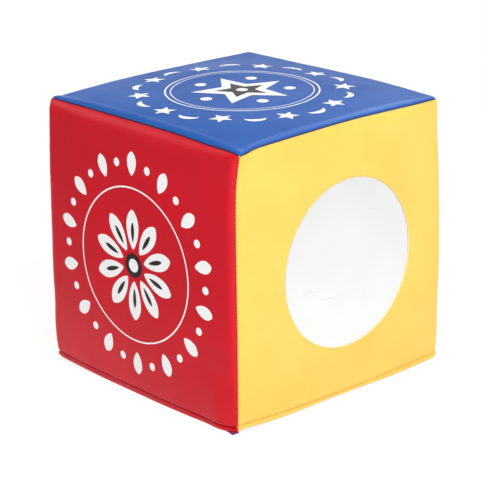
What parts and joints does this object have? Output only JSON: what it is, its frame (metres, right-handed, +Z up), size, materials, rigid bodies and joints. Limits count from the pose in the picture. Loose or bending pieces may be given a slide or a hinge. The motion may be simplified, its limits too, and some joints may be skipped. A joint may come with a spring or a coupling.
{
  "type": "soft play block",
  "caption": "Soft cube block for play: a foam core in a sewn, coated-fabric cover of coloured panels, with a round mirror in one side and a zip under the back edge.",
  "frame": {"origin": "on the floor, under the middle of the block", "axes": "+Z up through the blue top, -Y towards the red front, +X towards the side with the mirror; the zip runs along X under the back edge at +Y"},
  "size_m": [0.326, 0.3274, 0.32],
  "materials": {
    "vinyl_red": "satin",
    "vinyl_yellow": "satin",
    "vinyl_blue": "satin",
    "vinyl_purple": "satin",
    "vinyl_green": "satin",
    "vinyl_orange": "satin",
    "mirror_film": "polished",
    "adhesive": "satin",
    "backing": "matte",
    "foam": "matte",
    "thread": "matte",
    "zip_tape": "matte",
    "zip_teeth": "satin",
    "zip_metal": "satin"
  },
  "bodies": {
    "block": {"foam_core": "foam", "panel_front": "vinyl_red", "panel_mirror_side": "vinyl_yellow", "panel_back": "vinyl_green", "panel_left": "vinyl_orange", "panel_top": "vinyl_blue", "panel_base": "vinyl_purple", "flap_front": "vinyl_red", "flap_right": "vinyl_yellow", "flap_back": "vinyl_green", "flap_left": "vinyl_orange", "mirror_film": "mirror_film", "mirror_bond_ring": "adhesive", "mirror_backing": "backing", "seam_thread_front_left": "thread", "seam_thread_front_right": "thread", "seam_thread_back_left": "thread", "seam_thread_back_right": "thread", "seam_thread_top": "thread", "seam_thread_foot": "thread", "zip_tape_outer": "zip_tape", "zip_tape_inner": "zip_tape", "zip_teeth_outer": "zip_teeth", "zip_teeth_inner": "zip_teeth", "zip_stop_closed_end": "zip_metal", "zip_stop_open_end": "zip_metal"},
    "slider": {"zip_slider": "zip_metal"},
    "pull_tab": {"zip_pull_tab": "zip_metal"}
  },
  "joints": [
    {"name": "zip_slide", "type": "slide", "parent": "block", "child": "slider", "axis": [1, 0, 0], "range_m": [0, 0.25]},
    {"name": "pull_tab_hinge", "type": "hinge", "parent": "slider", "child": "pull_tab", "pos_m": [-0.1255, 0.143, 0.0045], "axis": [0, 1, 0], "range_deg": [0, 175]}
  ]
}
